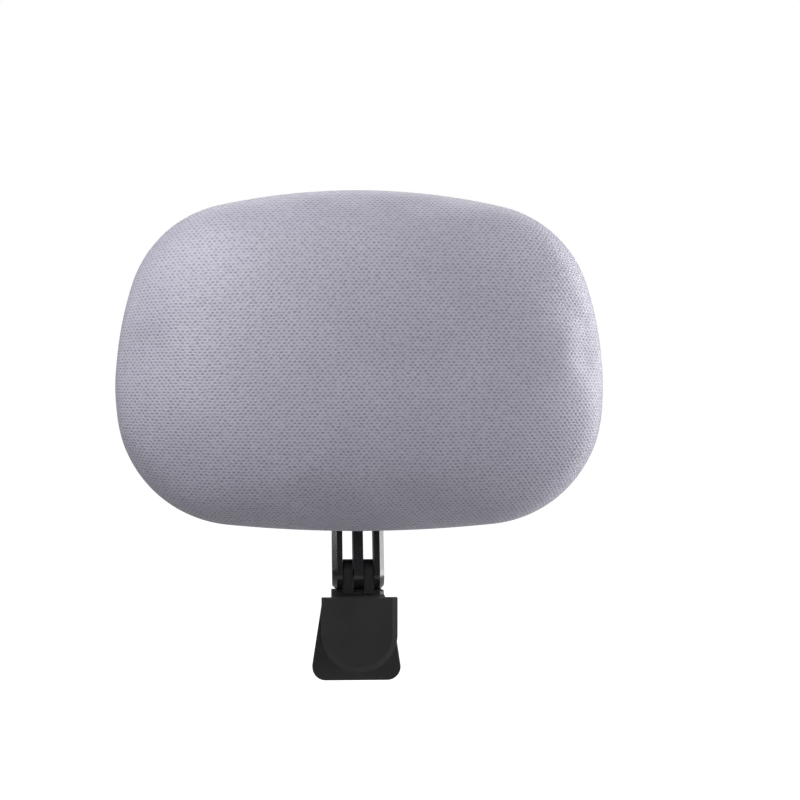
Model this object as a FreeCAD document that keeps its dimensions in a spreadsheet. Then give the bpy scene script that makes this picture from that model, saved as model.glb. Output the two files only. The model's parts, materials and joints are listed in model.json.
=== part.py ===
import FreeCAD, Part
import math
import os
import Sketcher

# Chair headrest attachment: a padded headrest on a tilting link arm, held to the
# top rail of a chair back by a screw clamp.
#
# Frame, in millimetres: X runs across the chair, Y points away from the sitter and
# Z points up. The origin is the middle of the clamp's seat, the downward face that
# rests on the top edge of the chair back. The cushion faces -Y.

SIZES = [
    # clamp frame
    ("jaw_width", 43.4, "front jaw, side to side"),
    ("jaw_thickness", 6.0, "front jaw and rear plate"),
    ("jaw_reach", 30.3, "front jaw, down from the seat"),
    ("jaw_bevel", 3.0, "bevel across the front jaw's face"),
    ("jaw_bevel_depth", 0.9, "bevel down the front jaw's edge"),
    ("mouth", 34.0, "front jaw to rear plate"),
    ("bridge_width", 30.0, "bridge, side to side"),
    ("bridge_height", 12.0, "bridge, up from the seat"),
    ("rear_shoulder", 5.0, "rear plate's shoulders, up from the seat"),
    ("rear_top_width", 40.9, "rear plate at its shoulders"),
    ("rear_bottom_width", 55.4, "rear plate at its lower edge"),
    ("rear_reach", 42.0, "rear plate, down from the seat"),
    ("rear_corner", 8.0, "radius of the rear plate's lower corners"),
    ("soft_edge", 0.8, "rounding of moulded edges"),
    ("block_height", 1.7, "block under the knuckle"),
    ("block_depth", 12.0, "block, front to back"),
    ("block_bevel", 2.4, "bevel on the block's upright edges"),
    ("pivot_height", 24.0, "lower pivot, up from the seat"),
    # knuckles, alike on the clamp and the bracket
    ("prong_width", 5.5, "knuckle prong"),
    ("prong_offset", 6.0, "prong's middle from the centre plane"),
    ("prong_radius", 8.0, "prong's round end"),
    ("pivot_bore", 2.08, "radius of the bolt's hole in the prongs"),
    # link arm
    ("arm_width", 30.0, "arm, side to side"),
    ("arm_radius", 10.0, "arm's round ends"),
    ("arm_length", 85.0, "pivot to pivot"),
    ("arm_lean", 18.0, "lean away from the sitter at rest, degrees"),
    ("arm_bevel", 2.6, "bevel round the arm's outer edges"),
    ("slot_width", 6.4, "slot for one knuckle prong"),
    ("slot_reach", 36.5, "slot, up from its pivot"),
    # pivot bolts, nuts and washers
    ("bolt_radius", 2.0, "pivot bolt's shank"),
    ("bolt_fit", 0.02, "room round the shank in the arm"),
    ("bolt_head", 3.5, "radius of the low head"),
    ("bolt_head_height", 2.2, "low head"),
    ("bolt_end", 0.4, "shank's end inside the arm's face"),
    ("washer_radius", 4.4, "washer under the head"),
    ("washer_thickness", 0.8, "washer under the head"),
    ("counterbore", 4.6, "radius of the head's recess"),
    ("nut_flats", 7.0, "nut across its flats"),
    ("nut_height", 3.2, "nut"),
    ("socket_flats", 2.5, "hex socket in the bolt heads"),
    ("socket_depth", 1.4, "hex socket in the bolt heads"),
    # clamp screw and pressure plate
    ("screw_drop", 14.0, "clamp screw, down from the seat"),
    ("screw_radius", 3.95, "threaded part"),
    ("insert_bore", 4.0, "radius of the insert's thread"),
    ("insert_radius", 5.0, "insert's barrel"),
    ("insert_flange", 7.0, "insert's flange"),
    ("insert_flange_height", 1.0, "insert's flange"),
    ("boss_radius", 9.0, "boss behind the rear plate"),
    ("boss_height", 3.0, "boss behind the rear plate"),
    ("journal_radius", 3.0, "screw's plain end"),
    ("journal_bore", 3.05, "hole for the plain end"),
    ("groove_radius", 2.5, "groove for the retaining clip"),
    ("clip_radius", 5.2, "retaining clip"),
    ("clip_thickness", 0.8, "retaining clip"),
    ("clip_gap", 3.0, "opening in the retaining clip"),
    ("clip_play", 0.1, "room along the screw either side of a face"),
    ("pocket_radius", 6.5, "pocket for the clip"),
    ("pocket_depth", 2.5, "pocket for the clip"),
    ("plate_front", 8.0, "Y of the pressure plate's front at rest"),
    ("plate_thickness", 5.0, "pressure plate"),
    ("plate_half", 18.0, "pressure plate, half its width"),
    ("seat_gap", 2.2, "plates and pads, down from the seat"),
    ("round_drop", 9.0, "middle of their round ends, down from the seat"),
    ("pad_thickness", 2.0, "rubber pads"),
    ("front_pad_half", 18.5, "front pad, half its width"),
    ("pressure_pad_half", 16.5, "pressure pad, half its width"),
    ("rib_first", 6.0, "first groove in a pad, down from the seat"),
    ("rib_pitch", 4.0, "groove to groove"),
    ("rib_width", 1.2, "groove in a pad"),
    ("rib_depth", 0.7, "groove in a pad"),
    ("knob_radius", 17.0, "knob"),
    ("knob_front", 42.0, "Y of the knob's head"),
    ("knob_height", 13.0, "knob's head"),
    ("knob_hub", 8.0, "radius of the knob's hub"),
    ("knob_hub_height", 1.5, "knob's hub"),
    ("knob_bore_end", 50.0, "Y of the end of the knob's blind hole"),
    ("scallop_radius", 5.5, "finger hollows round the knob"),
    ("scallop_circle", 19.6, "their middles from the knob's axis"),
    ("knob_edge", 1.6, "rounding of the knob's edges"),
    # cushion outline: arcs that run into each other, seen from the front
    ("cushion_height", 147.0, "middle of the cushion, up from the seat"),
    ("half_width", 136.0, "cushion, half its width"),
    ("half_height", 95.0, "cushion, half its height"),
    ("wide_line", -15.0, "widest level, up from the middle"),
    ("top_arc", 364.0, "radius along the top"),
    ("upper_corner", 65.0, "radius of the upper corners"),
    ("upper_side", 188.0, "radius of the sides above the widest level"),
    ("lower_side", 163.0, "radius of the sides below it"),
    ("lower_corner", 68.0, "radius of the lower corners"),
    ("bottom_arc", 742.0, "radius along the bottom"),
    # cushion depth
    ("cushion_front", -72.0, "Y of the cushion's face"),
    ("cushion_back", -18.0, "Y of the cover's back"),
    ("front_roll", 33.0, "rounding into the face"),
    ("back_roll", 19.0, "rounding into the back"),
    ("cover_thickness", 1.6, "mesh fabric"),
    ("hem_inset", 34.0, "hem's edge, in from the outline"),
    ("board_inset", 22.0, "inner board, in from the outline"),
    ("board_thickness", 6.0, "inner board"),
    # back shell
    ("shell_inset", 21.0, "back shell's rim, in from the outline"),
    ("shell_depth", 12.0, "back shell, front to back"),
    ("shell_roll", 11.0, "rounding of the shell's outer edge"),
    ("shell_wall", 2.5, "back shell"),
    ("shell_boss", 6.5, "screw bosses in the shell"),
    ("shell_boss_top", -7.5, "Y where the bosses join the wall"),
    ("shell_seat", -10.0, "Y of the shell screws' heads"),
    ("shell_recess", 4.2, "radius of the screw recesses"),
    ("shell_screw_hole", 1.8, "radius through the bosses"),
    ("shell_screw_x", 80.0, "shell screws, out from the middle"),
    ("shell_screw_z", 42.0, "shell screws, up and down from the middle"),
    ("shell_pad_half_width", 43.0, "raised pad under the bracket"),
    ("shell_pad_half_height", 28.0, "raised pad under the bracket"),
    ("shell_pad_back", -3.0, "Y of the raised pad"),
    # bracket
    ("bracket_height", 116.0, "middle of the bracket's plate, up from the seat"),
    ("bracket_half_width", 39.0, "bracket's plate"),
    ("bracket_half_height", 26.0, "bracket's plate"),
    ("bracket_thickness", 5.0, "bracket's plate"),
    ("bracket_corner", 9.0, "radius of the plate's corners"),
    ("bracket_screw_x", 30.0, "bracket screws, out from the middle"),
    ("bracket_screw_z", 18.0, "bracket screws, up and down from the plate's middle"),
    ("bracket_screw_hole", 2.6, "radius through the bracket and shell"),
    # cushion fasteners
    ("bracket_screw", 2.5, "bracket screw's shank radius"),
    ("bracket_screw_length", 28.0, "bracket screw, under its head"),
    ("bracket_screw_head", 4.6, "bracket screw's head radius"),
    ("bracket_screw_head_height", 2.8, "bracket screw's head"),
    ("tee_barrel", 3.5, "tee nut's barrel radius"),
    ("tee_length", 5.5, "tee nut's barrel"),
    ("tee_flange", 8.0, "tee nut's flange radius"),
    ("tee_flange_height", 1.2, "tee nut's flange"),
    ("shell_screw", 1.5, "shell screw's shank radius"),
    ("shell_screw_length", 15.0, "shell screw, under its head"),
    ("shell_screw_head", 3.8, "shell screw's head radius"),
    ("shell_screw_head_height", 2.2, "shell screw's head"),
]

PADS_GROOVES = (0, 1, 3, 4)  # the land in the middle, behind the screw, stays whole
KNOB_SCALLOPS = 6
OVERLAP = 1.0  # how far a feature runs into the one it joins

doc = FreeCAD.newDocument("headrest_attachment")
sheet = doc.addObject("Spreadsheet::Sheet", "sizes")
for row, (alias, value, meaning) in enumerate(SIZES, start=1):
    sheet.set(f"A{row}", meaning)
    sheet.set(f"B{row}", str(value))
    sheet.setAlias(f"B{row}", alias)
doc.recompute()


class Size:
    """A length that knows its value and the expression that gives it from the sheet."""

    def __init__(self, value, text=None):
        self.value = float(value)
        self.text = text or repr(float(value))

    def _join(self, other, sign, value):
        return Size(value, f"({self.text} {sign} {other.text})")

    def __add__(self, other):
        other = as_size(other)
        return self._join(other, "+", self.value + other.value)

    def __sub__(self, other):
        other = as_size(other)
        return self._join(other, "-", self.value - other.value)

    def __mul__(self, other):
        other = as_size(other)
        return self._join(other, "*", self.value * other.value)

    def __truediv__(self, other):
        other = as_size(other)
        return self._join(other, "/", self.value / other.value)

    def __neg__(self):
        return Size(-self.value, f"(-1 * {self.text})")


def as_size(item):
    return item if isinstance(item, Size) else Size(item)


def cell(alias):
    return Size(sheet.get(alias), f"sizes.{alias}")


def sin(angle):
    return Size(math.sin(math.radians(angle.value)), f"sin({angle.text} * 1 deg)")


def cos(angle):
    return Size(math.cos(math.radians(angle.value)), f"cos({angle.text} * 1 deg)")


def bind(obj, prop, size):
    obj.setExpression(prop, as_size(size).text)


# Sketches. Every point is held by its distances from the sketch's origin.


def new_body(label):
    body = doc.addObject("PartDesign::Body", label)
    body.Label = label
    return body


def new_sketch(body, plane, offset=0):
    """A sketch on one of the body's own planes, moved along the plane's normal."""
    sketch = body.newObject("Sketcher::SketchObject", f"{body.Name}_sketch")
    support = [item for item in body.Origin.OriginFeatures if item.Role == plane][0]
    sketch.AttachmentSupport = [(support, "")]
    sketch.MapMode = "FlatFace"
    bind(sketch, "AttachmentOffset.Base.z", offset)
    return sketch


def constrain(sketch, kind, *where, size=None):
    if size is None:
        return sketch.addConstraint(Sketcher.Constraint(kind, *where))
    size = as_size(size)
    index = sketch.addConstraint(Sketcher.Constraint(kind, *where, size.value))
    sketch.setExpression(f"Constraints[{index}]", size.text)
    return index


def hold_level(sketch, kind, item, point, size):
    """Hold one coordinate of a point, on the axis itself where it is zero."""
    size = as_size(size)
    if abs(size.value) < 1e-9:
        axis = -2 if kind == "DistanceX" else -1
        constrain(sketch, "PointOnObject", item, point, axis)
    else:
        constrain(sketch, kind, -1, 1, item, point, size=size)


def hold(sketch, item, point, x, y):
    hold_level(sketch, "DistanceX", item, point, x)
    hold_level(sketch, "DistanceY", item, point, y)


def vector(x, y):
    return FreeCAD.Vector(as_size(x).value, as_size(y).value, 0)


def add_polygon(sketch, points):
    first = sketch.GeometryCount
    count = len(points)
    for i in range(count):
        line = Part.LineSegment(vector(*points[i]), vector(*points[(i + 1) % count]))
        sketch.addGeometry(line)
    for i in range(count):
        constrain(sketch, "Coincident", first + i, 2, first + (i + 1) % count, 1)
    for i, (x, y) in enumerate(points):
        hold(sketch, first + i, 1, x, y)


def add_rectangle(sketch, x0, x1, y0, y1):
    add_polygon(sketch, [(x0, y0), (x1, y0), (x1, y1), (x0, y1)])


def add_circle(sketch, x, y, radius):
    circle = Part.Circle(vector(x, y), FreeCAD.Vector(0, 0, 1), as_size(radius).value)
    index = sketch.addGeometry(circle)
    hold(sketch, index, 3, x, y)
    constrain(sketch, "Radius", index, size=radius)


def add_arc(sketch, x, y, radius, start, end):
    circle = Part.Circle(vector(x, y), FreeCAD.Vector(0, 0, 1), as_size(radius).value)
    return sketch.addGeometry(Part.ArcOfCircle(circle, start, end))


TONGUE_START = {"up": 0.0, "down": math.pi, "right": -math.pi / 2}


def add_tongue(sketch, direction, half, root, x, y):
    """A strip of half width `half` from `root` to a round end centred at x, y."""
    start = TONGUE_START[direction]
    arc = add_arc(sketch, x, y, half, start, start + math.pi)
    ends = [sketch.getPoint(arc, point) for point in (1, 2)]
    level = as_size(root).value
    if direction == "right":
        corners = [FreeCAD.Vector(level, end.y, 0) for end in ends]
        along, across, kind = "Horizontal", "Vertical", "DistanceX"
    else:
        corners = [FreeCAD.Vector(end.x, level, 0) for end in ends]
        along, across, kind = "Vertical", "Horizontal", "DistanceY"
    back = sketch.addGeometry(Part.LineSegment(ends[1], corners[1]))
    base = sketch.addGeometry(Part.LineSegment(corners[1], corners[0]))
    front = sketch.addGeometry(Part.LineSegment(corners[0], ends[0]))
    constrain(sketch, "Tangent", arc, 2, back, 1)
    constrain(sketch, "Coincident", back, 2, base, 1)
    constrain(sketch, "Coincident", base, 2, front, 1)
    constrain(sketch, "Tangent", front, 2, arc, 1)
    constrain(sketch, along, back)
    constrain(sketch, along, front)
    constrain(sketch, across, base)
    hold_level(sketch, kind, base, 1, root)
    hold(sketch, arc, 3, x, y)
    constrain(sketch, "Radius", arc, size=half)


def add_stadium(sketch, radius, length):
    """Two round ends, the lower one centred on the sketch's origin."""
    upper = add_arc(sketch, 0, length, radius, 0, math.pi)
    lower = add_arc(sketch, 0, 0, radius, math.pi, 2 * math.pi)
    left = sketch.addGeometry(Part.LineSegment(vector(-radius, length), vector(-radius, 0)))
    right = sketch.addGeometry(Part.LineSegment(vector(radius, 0), vector(radius, length)))
    constrain(sketch, "Tangent", upper, 2, left, 1)
    constrain(sketch, "Tangent", left, 2, lower, 1)
    constrain(sketch, "Tangent", lower, 2, right, 1)
    constrain(sketch, "Tangent", right, 2, upper, 1)
    hold(sketch, lower, 3, 0, 0)
    hold(sketch, upper, 3, 0, length)
    constrain(sketch, "Radius", lower, size=radius)


def corner_centre(end_level, end_gap, side_x, side_level, side_gap):
    """Where a corner's arc is centred, from its distances to two other centres."""
    across = side_x
    along = side_level - end_level
    apart = math.hypot(across, along)
    reach = (apart**2 + end_gap**2 - side_gap**2) / (2 * apart)
    height = math.sqrt(end_gap**2 - reach**2)
    unit = (across / apart, along / apart)
    found = []
    for turn in (1, -1):
        x = reach * unit[0] - turn * height * unit[1]
        y = reach * unit[1] + turn * height * unit[0]
        found.append((x, end_level + y))
    return max(found)


def outline_half(upper, inset):
    """Centres, radii and end angles of the right-hand arcs above or below wide_line."""
    names = ("upper_side", "upper_corner", "top_arc")
    names = names if upper else ("lower_side", "lower_corner", "bottom_arc")
    side, corner, end = (cell(name) for name in names)
    half_height = cell("half_height") if upper else -cell("half_height")
    end_level = half_height - end if upper else half_height + end
    side_x = cell("half_width") - side
    level = cell("wide_line")
    mirror = 1 if upper else -1
    centre = corner_centre(
        mirror * end_level.value,
        end.value - corner.value,
        side_x.value,
        mirror * level.value,
        side.value - corner.value,
    )
    to_side = math.atan2(centre[1] - mirror * level.value, centre[0] - side_x.value)
    to_end = math.atan2(centre[1] - mirror * end_level.value, centre[0])
    return {
        "side": (side_x, level, side - inset),
        "corner": (centre[0], mirror * centre[1], corner - inset),
        "end": (0, end_level, end - inset),
        "angles": (to_side, to_end),
    }


def add_cushion_outline(sketch, inset):
    """The cushion's outline moved inwards by `inset`, as ten arcs counterclockwise."""
    inset = as_size(inset)
    upper = outline_half(True, inset)
    lower = outline_half(False, inset)
    u_side, u_end = upper["angles"]
    l_side, l_end = lower["angles"]
    pi = math.pi

    def arc(part, left, start, end):
        x, y, radius = part
        return add_arc(sketch, -x if left else x, y, radius, start, end)

    items = [
        arc(upper["side"], False, 0, u_side),
        arc(upper["corner"], False, u_side, u_end),
        arc(upper["end"], False, u_end, pi - u_end),
        arc(upper["corner"], True, pi - u_end, pi - u_side),
        arc(upper["side"], True, pi - u_side, pi),
        arc(lower["side"], True, pi, pi + l_side),
        arc(lower["corner"], True, pi + l_side, pi + l_end),
        arc(lower["end"], False, pi + l_end, 2 * pi - l_end),
        arc(lower["corner"], False, 2 * pi - l_end, 2 * pi - l_side),
        arc(lower["side"], False, 2 * pi - l_side, 2 * pi),
    ]
    parts = ["side", "corner", "end", "corner", "side"]
    for i, item in enumerate(items):
        half = upper if i < 5 else lower
        constrain(sketch, "Tangent", item, 2, items[(i + 1) % 10], 1)
        constrain(sketch, "Radius", item, size=half[parts[i % 5]][2])
    side_x, level, _ = upper["side"]
    hold(sketch, items[0], 3, side_x, level)
    hold(sketch, items[4], 3, -side_x, level)
    hold(sketch, items[2], 3, 0, upper["end"][1])
    hold(sketch, items[7], 3, 0, lower["end"][1])
    hold_level(sketch, "DistanceY", items[5], 3, level)
    hold_level(sketch, "DistanceY", items[9], 3, level)


# Features.


def settle(feature):
    """Recompute, and stop at once if the feature can't be built."""
    doc.recompute()
    if "Invalid" in feature.State or "Error" in feature.State:
        raise RuntimeError(f"{feature.Name} failed: {feature.State}")
    return feature


def pad(body, sketch, length, reverse=False, symmetric=False):
    feature = body.newObject("PartDesign::Pad", f"{body.Name}_pad")
    feature.Profile = sketch
    feature.Reversed = reverse
    if symmetric:
        feature.SideType = "Symmetric"
    bind(feature, "Length", length)
    return settle(feature)


def pocket(body, sketch, length, reverse=False, symmetric=False):
    """Cut a sketch into the body, and make sure that it took something away."""
    before = body.Shape.Volume
    feature = body.newObject("PartDesign::Pocket", f"{body.Name}_pocket")
    feature.Profile = sketch
    feature.Reversed = reverse
    if symmetric:
        feature.SideType = "Symmetric"
    bind(feature, "Length", length)
    settle(feature)
    if body.Shape.Volume > before - 1e-3:
        raise RuntimeError(f"{feature.Name} cuts nothing")
    return feature


def edges_where(body, test):
    edges = body.Shape.copy()
    edges.Placement = FreeCAD.Placement()
    found = [f"Edge{i}" for i, edge in enumerate(edges.Edges, start=1) if test(edge)]
    if not found:
        raise RuntimeError(f"no edges found on {body.Name}")
    return found


def in_plane(axis, size):
    """A test for the edges that lie in the plane where one coordinate has this value."""
    value = as_size(size).value

    def test(edge):
        box = edge.BoundBox
        low = getattr(box, f"{axis}Min")
        high = getattr(box, f"{axis}Max")
        return abs(low - value) < 0.01 and abs(high - value) < 0.01

    return test


def dress(body, kind, test):
    """A fillet or chamfer on the edges of the body's last feature that pass the test."""
    base = (body.Tip, edges_where(body, test))
    feature = body.newObject(kind, f"{body.Name}_edges")
    feature.Base = base
    return feature


def fillet(body, test, radius):
    feature = dress(body, "PartDesign::Fillet", test)
    bind(feature, "Radius", radius)
    return settle(feature)


def chamfer(body, test, across, down=None):
    feature = dress(body, "PartDesign::Chamfer", test)
    bind(feature, "Size", across)
    if down is not None:
        feature.ChamferType = "Two distances"
        bind(feature, "Size2", down)
    return settle(feature)


# Turned pieces, from primitives along one axis.

TURN = {
    "X": FreeCAD.Rotation(FreeCAD.Vector(0, 1, 0), 90),
    "Y": FreeCAD.Rotation(FreeCAD.Vector(1, 0, 0), -90),
}


def place(obj, x, y, z):
    for axis, size in zip("xyz", (x, y, z)):
        bind(obj, f"Placement.Base.{axis}", size)


def along(axis, at, start):
    """The point on a line through `at` along an axis, where that coordinate is start."""
    x, y, z = at
    return (start, y, z) if axis == "X" else (x, start, z)


def cylinder(name, axis, at, start, length, radius):
    item = doc.addObject("Part::Cylinder", name)
    item.Placement.Rotation = TURN[axis]
    place(item, *along(axis, at, start))
    bind(item, "Radius", radius)
    bind(item, "Height", length)
    return item


def hexagon(name, axis, at, start, length, flats):
    item = doc.addObject("Part::Prism", name)
    item.Polygon = 6
    item.Placement.Rotation = TURN[axis]
    place(item, *along(axis, at, start))
    bind(item, "Circumradius", flats / 2 / cos(Size(30)))
    bind(item, "Height", length)
    return item


def cut(label, base, *tools):
    result = base
    for i, tool in enumerate(tools):
        step = doc.addObject("Part::Cut", label if i == len(tools) - 1 else f"{label}_cut")
        step.Base = result
        step.Tool = tool
        result = step
    return result


def fuse(label, *parts):
    result = doc.addObject("Part::MultiFuse", label)
    result.Shapes = list(parts)
    result.Refine = True
    return result


def socket_screw(label, axis, at, seat, head, head_height, shank, length):
    """A screw whose head stands on `seat`, pointing back along the axis."""
    parts = fuse(
        f"{label}_blank",
        cylinder(f"{label}_head", axis, at, seat, head_height, head),
        cylinder(f"{label}_shank", axis, at, seat - length, length + OVERLAP, shank),
    )
    depth = cell("socket_depth")
    start = seat + head_height - depth
    tool = hexagon(f"{label}_socket", axis, at, start, depth + OVERLAP, cell("socket_flats"))
    return cut(label, parts, tool)


# Shared places.

front_inner = -cell("mouth") / 2
front_outer = front_inner - cell("jaw_thickness")
rear_inner = cell("mouth") / 2
rear_outer = rear_inner + cell("jaw_thickness")
slot_middle = cell("prong_offset")
lower_pivot = (Size(0), Size(0), cell("pivot_height"))
upper_pivot = (
    Size(0),
    cell("arm_length") * sin(cell("arm_lean")),
    cell("pivot_height") + cell("arm_length") * cos(cell("arm_lean")),
)
screw_line = (Size(0), Size(0), -cell("screw_drop"))
board_back = cell("cushion_back") - cell("cover_thickness")
board_front = board_back - cell("board_thickness")
bracket_back = cell("shell_pad_back") + cell("bracket_thickness")


def knuckle_starts():
    """X of the near side of each of a knuckle's two prongs."""
    half = cell("prong_width") / 2
    return [-slot_middle - half, slot_middle - half]


def make_clamp_frame():
    body = new_body("clamp_frame")
    half = cell("jaw_width") / 2

    front = new_sketch(body, "XZ_Plane", -front_inner)
    add_tongue(front, "down", half, cell("bridge_height"), 0, half - cell("jaw_reach"))
    pad(body, front, cell("jaw_thickness"))

    bridge = new_sketch(body, "XY_Plane")
    side = cell("bridge_width") / 2
    add_rectangle(bridge, -side, side, front_inner - OVERLAP, rear_inner + OVERLAP)
    pad(body, bridge, cell("bridge_height"))

    rear = new_sketch(body, "XZ_Plane", -rear_inner)
    top = cell("rear_top_width") / 2
    bottom = cell("rear_bottom_width") / 2
    low = -cell("rear_reach")
    shoulder = cell("rear_shoulder")
    high = cell("bridge_height")
    right = [(bottom, low), (top, shoulder), (side, shoulder), (side, high)]
    left = [(-side, high), (-side, shoulder), (-top, shoulder), (-bottom, low)]
    add_polygon(rear, right + left)
    pad(body, rear, cell("jaw_thickness"), reverse=True)

    def lower_corner(edge):
        box = edge.BoundBox
        return box.ZMax < low.value + 0.01 and box.YLength > 1 and box.XLength < 0.01

    def front_rim(edge):
        return in_plane("Y", front_outer)(edge) and edge.BoundBox.ZMin < high.value - 0.01

    fillet(body, lower_corner, cell("rear_corner"))
    chamfer(body, front_rim, cell("jaw_bevel_depth"), cell("jaw_bevel"))

    boss = new_sketch(body, "XZ_Plane", -rear_outer)
    add_circle(boss, 0, screw_line[2], cell("boss_radius"))
    pad(body, boss, cell("boss_height"), reverse=True)

    block = new_sketch(body, "XY_Plane", cell("bridge_height"))
    depth = cell("block_depth") / 2
    add_rectangle(block, -side, side, -depth, depth)
    pad(body, block, cell("block_height"))
    block_top = cell("bridge_height") + cell("block_height")

    def block_upright(edge):
        box = edge.BoundBox
        upright = box.XLength < 0.01 and box.YLength < 0.01
        return upright and box.ZMin > cell("bridge_height").value - 0.01

    chamfer(body, block_upright, cell("block_bevel"))

    for start in knuckle_starts():
        prong = new_sketch(body, "YZ_Plane", start)
        add_tongue(prong, "up", cell("prong_radius"), block_top - OVERLAP, 0, lower_pivot[2])
        pad(body, prong, cell("prong_width"))

    pivot = new_sketch(body, "YZ_Plane")
    add_circle(pivot, 0, lower_pivot[2], cell("pivot_bore"))
    pocket(body, pivot, cell("bridge_width"), symmetric=True)

    hole = new_sketch(body, "XZ_Plane", -rear_inner)
    add_circle(hole, 0, screw_line[2], cell("insert_radius"))
    pocket(body, hole, cell("jaw_thickness") + cell("boss_height"))

    def rear_rim(edge):
        box = edge.BoundBox
        flat = in_plane("Y", rear_outer)(edge) or in_plane("Y", rear_inner)(edge)
        outer = box.ZMin < low.value + 0.01 or box.XLength > 1 and box.ZLength > 30
        return flat and outer

    fillet(body, rear_rim, cell("soft_edge"))
    return body


def add_grooves(body, half, face, outward):
    """Grip grooves across a pad's face, which looks along +Y or -Y."""
    sketch = new_sketch(body, "XZ_Plane", -face)
    width = cell("rib_width")
    for step in PADS_GROOVES:
        top = -cell("rib_first") - cell("rib_pitch") * step + width / 2
        add_rectangle(sketch, -half - OVERLAP, half + OVERLAP, top - width, top)
    pocket(body, sketch, cell("rib_depth"), reverse=outward > 0)


def make_tongue_plate(label, half, start, thickness):
    """A flat-topped plate with a round lower end, from Y = start away from the sitter."""
    body = new_body(label)
    sketch = new_sketch(body, "XZ_Plane", -start)
    add_tongue(sketch, "down", half, -cell("seat_gap"), 0, -cell("round_drop"))
    pad(body, sketch, thickness, reverse=True)
    return body


def make_front_jaw_pad():
    half = cell("front_pad_half")
    body = make_tongue_plate("front_jaw_pad", half, front_inner, cell("pad_thickness"))
    add_grooves(body, half, front_inner + cell("pad_thickness"), outward=1)
    return body


def make_pressure_pad():
    half = cell("pressure_pad_half")
    start = cell("plate_front") - cell("pad_thickness")
    body = make_tongue_plate("pressure_pad", half, start, cell("pad_thickness"))
    add_grooves(body, half, start, outward=-1)
    return body


def make_pressure_plate():
    start = cell("plate_front")
    body = make_tongue_plate("pressure_plate", cell("plate_half"), start, cell("plate_thickness"))
    for radius, depth in (
        (cell("pocket_radius"), cell("pocket_depth")),
        (cell("journal_bore"), cell("plate_thickness")),
    ):
        sketch = new_sketch(body, "XZ_Plane", -start)
        add_circle(sketch, 0, screw_line[2], radius)
        pocket(body, sketch, depth)
    return body


def make_thread_insert():
    flange = cell("insert_flange_height")
    end = rear_outer + cell("boss_height")
    length = end - rear_inner
    blank = fuse(
        "insert_blank",
        cylinder("insert_barrel", "Y", screw_line, rear_inner, length, cell("insert_radius")),
        cylinder("insert_flange", "Y", screw_line, end, flange, cell("insert_flange")),
    )
    bore = cylinder(
        "insert_thread",
        "Y",
        screw_line,
        rear_inner - OVERLAP,
        length + flange + 2 * OVERLAP,
        cell("insert_bore"),
    )
    return cut("thread_insert", blank, bore)


def clip_start():
    pocket_floor = cell("plate_front") + cell("pocket_depth")
    return pocket_floor - cell("clip_play") - cell("clip_thickness")


def make_clamp_screw():
    """Turned profile: plain end, clip groove, shoulder and threaded part."""
    body = new_body("clamp_screw")
    place(body, *screw_line)
    play = cell("clip_play")
    tip = clip_start() - cell("clip_thickness")
    shoulder = cell("plate_front") + cell("plate_thickness") + play
    journal = cell("journal_radius")
    groove = cell("groove_radius")
    groove_end = clip_start() + cell("clip_thickness")
    sketch = new_sketch(body, "YZ_Plane")
    add_polygon(
        sketch,
        [
            (tip, 0),
            (cell("knob_bore_end"), 0),
            (cell("knob_bore_end"), cell("screw_radius")),
            (shoulder, cell("screw_radius")),
            (shoulder, journal),
            (groove_end, journal),
            (groove_end, groove),
            (clip_start(), groove),
            (clip_start(), journal),
            (tip, journal),
        ],
    )
    turned = body.newObject("PartDesign::Revolution", "clamp_screw_turned")
    turned.Profile = sketch
    turned.ReferenceAxis = (sketch, ["H_Axis"])
    turned.Angle = 360
    return body


def make_retaining_clip():
    start = clip_start()
    thickness = cell("clip_thickness")
    ring = cylinder("clip_ring", "Y", screw_line, start, thickness, cell("clip_radius"))
    hole = cylinder(
        "clip_hole",
        "Y",
        screw_line,
        start - OVERLAP,
        thickness + 2 * OVERLAP,
        cell("groove_radius"),
    )
    mouth = doc.addObject("Part::Box", "clip_mouth")
    bind(mouth, "Length", cell("clip_gap"))
    bind(mouth, "Width", thickness + 2 * OVERLAP)
    bind(mouth, "Height", cell("clip_radius") + OVERLAP)
    drop = screw_line[2] - cell("clip_radius") - OVERLAP
    place(mouth, -cell("clip_gap") / 2, start - OVERLAP, drop)
    return cut("retaining_clip", ring, hole, mouth)


def make_knob():
    body = new_body("knob")
    place(body, *screw_line)
    head = new_sketch(body, "XZ_Plane", -cell("knob_front"))
    add_circle(head, 0, 0, cell("knob_radius"))
    pad(body, head, cell("knob_height"), reverse=True)

    hollow = new_sketch(body, "XZ_Plane", -cell("knob_front"))
    add_circle(hollow, 0, cell("scallop_circle"), cell("scallop_radius"))
    first = pocket(body, hollow, cell("knob_height"))
    pattern = body.newObject("PartDesign::PolarPattern", "knob_scallops")
    pattern.Originals = [first]
    pattern.Axis = (hollow, ["N_Axis"])
    pattern.Angle = 360
    pattern.Occurrences = KNOB_SCALLOPS
    body.Tip = pattern
    doc.recompute()

    ends = (cell("knob_front"), cell("knob_front") + cell("knob_height"))
    fillet(body, lambda edge: any(in_plane("Y", end)(edge) for end in ends), cell("knob_edge"))

    hub = new_sketch(body, "XZ_Plane", -cell("knob_front"))
    add_circle(hub, 0, 0, cell("knob_hub"))
    pad(body, hub, cell("knob_hub_height"))

    hub_front = cell("knob_front") - cell("knob_hub_height")
    bore = new_sketch(body, "XZ_Plane", -hub_front)
    add_circle(bore, 0, 0, cell("screw_radius"))
    pocket(body, bore, cell("knob_bore_end") - hub_front)
    return body


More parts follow.
